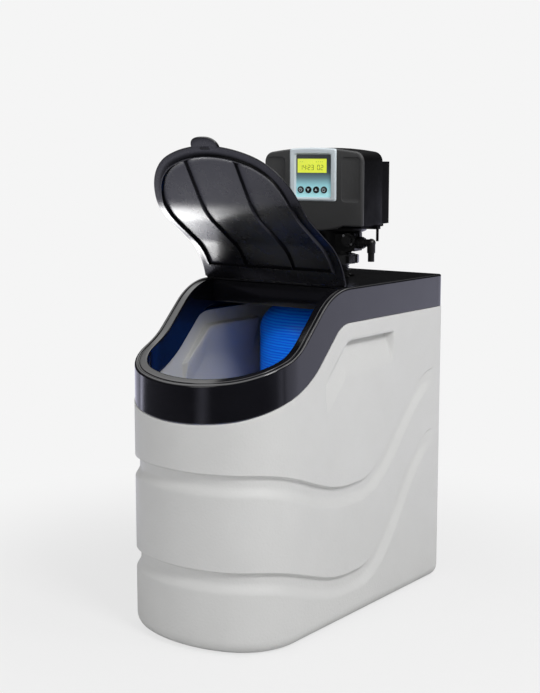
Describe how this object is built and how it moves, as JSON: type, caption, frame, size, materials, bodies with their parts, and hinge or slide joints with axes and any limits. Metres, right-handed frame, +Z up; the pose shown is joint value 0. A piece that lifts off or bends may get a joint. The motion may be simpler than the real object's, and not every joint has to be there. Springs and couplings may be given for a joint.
{
  "type": "water softener",
  "caption": "Cabinet water softener: moulded salt cabinet with grooved sides and hinged lid, pressure tank inside, and a metered control valve with display on the deck.",
  "frame": {"origin": "middle of the cabinet's footprint on the floor", "axes": "+Z up, +X to the right seen from the nose, nose towards -Y"},
  "size_m": [0.32, 0.6244, 0.8476],
  "materials": {
    "cabinet": "satin",
    "cover": "gloss",
    "tank": "satin",
    "valve": "satin",
    "head": "matt",
    "bezel": "satin",
    "panel": "gloss",
    "lcd": "gloss",
    "keys": "gloss",
    "rubber": "matt",
    "white_plastic": "matt",
    "resin": "matt",
    "ceramic": "gloss",
    "turbine": "matt",
    "brass": "machined",
    "clip": "satin",
    "cap": "satin",
    "steel": "brushed",
    "motor": "satin",
    "board": "satin"
  },
  "bodies": {
    "cabinet": {"cabinet_shell": "cabinet", "top_cover": "cover", "resin_tank": "tank", "tank_base": "valve", "tank_neck": "valve", "valve_body": "valve", "union_nuts": "valve", "brine_elbow": "valve", "drain_elbow": "valve", "overflow_elbow": "valve", "overflow_nut": "valve", "gland_nut": "valve", "power_socket": "valve", "head_base": "head", "head_cover": "head", "head_back": "head", "bezel": "bezel", "display_panel": "panel", "lcd": "lcd", "neck_oring": "rubber", "disc_seal": "rubber", "top_basket": "white_plastic", "riser_tube": "white_plastic", "bottom_basket": "white_plastic", "meter_cage": "white_plastic", "brine_well": "white_plastic", "well_cap": "white_plastic", "brine_valve": "white_plastic", "air_check": "white_plastic", "salt_grid": "white_plastic", "resin_bed": "resin", "fixed_disc": "ceramic", "port_tails": "brass", "elbow_clip": "clip", "injector": "clip", "injector_cap": "cap", "cap_screws": "steel", "base_screws": "steel", "back_screws": "steel", "board_screws": "steel", "motor_screws": "steel", "drive_motor": "motor", "circuit_board": "board"},
    "lid": {"lid": "cover", "lid_hinge_pins": "steel"},
    "key_menu": {"button_menu": "keys"},
    "key_down": {"button_down": "keys"},
    "key_up": {"button_up": "keys"},
    "key_regen": {"button_regen": "keys"},
    "rotor": {"drive_gear": "white_plastic", "valve_shaft": "white_plastic", "moving_disc": "ceramic"},
    "pinion": {"motor_pinion": "brass"},
    "turbine": {"meter_turbine": "turbine"},
    "float": {"float_rod": "white_plastic", "float_cup": "white_plastic"}
  },
  "joints": [
    {"name": "lid_hinge", "type": "hinge", "parent": "cabinet", "child": "lid", "pos_m": [0, -0.026, 0.5945], "axis": [1, 0, 0], "range_deg": [-20, 79.4]},
    {"name": "press_menu", "type": "slide", "parent": "cabinet", "child": "key_menu", "axis": [-0.1564, 0.9877, 0], "range_m": [0, 0.0008], "stiffness_N_per_m": 1000, "springref_m": -0.0005},
    {"name": "press_down", "type": "slide", "parent": "cabinet", "child": "key_down", "axis": [-0.1564, 0.9877, 0], "range_m": [0, 0.0008], "stiffness_N_per_m": 1000, "springref_m": -0.0005},
    {"name": "press_up", "type": "slide", "parent": "cabinet", "child": "key_up", "axis": [-0.1564, 0.9877, 0], "range_m": [0, 0.0008], "stiffness_N_per_m": 1000, "springref_m": -0.0005},
    {"name": "press_regen", "type": "slide", "parent": "cabinet", "child": "key_regen", "axis": [-0.1564, 0.9877, 0], "range_m": [0, 0.0008], "stiffness_N_per_m": 1000, "springref_m": -0.0005},
    {"name": "drive_spin", "type": "hinge", "parent": "cabinet", "child": "rotor", "pos_m": [0, 0.15, 0.65], "axis": [0, 0, 1], "continuous": true},
    {"name": "pinion_spin", "type": "hinge", "parent": "cabinet", "child": "pinion", "pos_m": [0.03951, 0.15626, 0.696], "axis": [0, 0, 1], "continuous": true},
    {"name": "turbine_spin", "type": "hinge", "parent": "cabinet", "child": "turbine", "pos_m": [-0.04547, 0.11749, 0.652], "axis": [0.9877, 0.1564, 0], "continuous": true},
    {"name": "float_rise", "type": "slide", "parent": "cabinet", "child": "float", "axis": [0, 0, 1], "range_m": [0, 0.03]}
  ],
  "couplings": [
    {"joint": "pinion_spin", "follows": "drive_spin", "ratio": -4}
  ]
}
